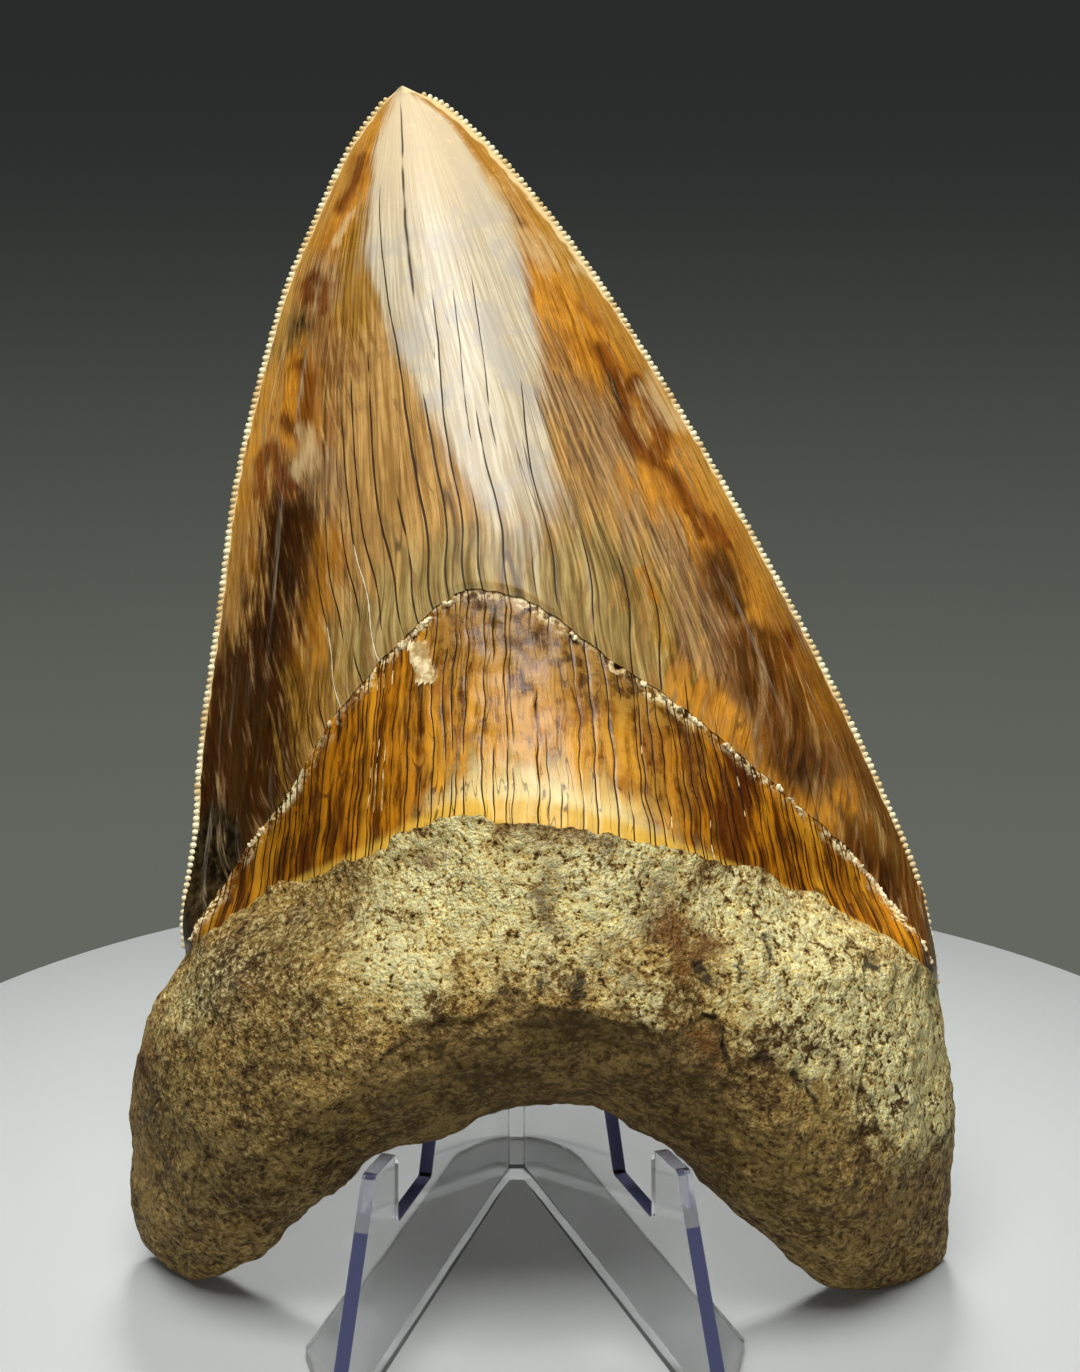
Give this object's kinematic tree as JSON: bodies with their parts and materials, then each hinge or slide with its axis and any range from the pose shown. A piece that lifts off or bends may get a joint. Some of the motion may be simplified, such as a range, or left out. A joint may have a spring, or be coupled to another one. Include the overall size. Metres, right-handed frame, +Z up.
{
  "type": "megalodon tooth",
  "caption": "Large fossil shark tooth with a serrated triangular crown, a dark band and an arched root, standing on its root lobes in front of a clear moulded easel.",
  "frame": {"origin": "centre of the assembly's footprint box, on the surface it stands on", "axes": "+Z up, +X to the right as seen from the tooth's displayed side, -Y towards the viewer"},
  "size_m": [0.0923, 0.0735, 0.1307],
  "materials": {
    "fossil": "worn enamel on the crown, a satin dark band, dry grainy root",
    "clear_plastic": "clear moulded plastic, glossy, with a faint violet tint at its edges"
  },
  "bodies": {
    "root": {"tooth": "fossil", "easel": "clear_plastic"}
  },
  "joints": []
}
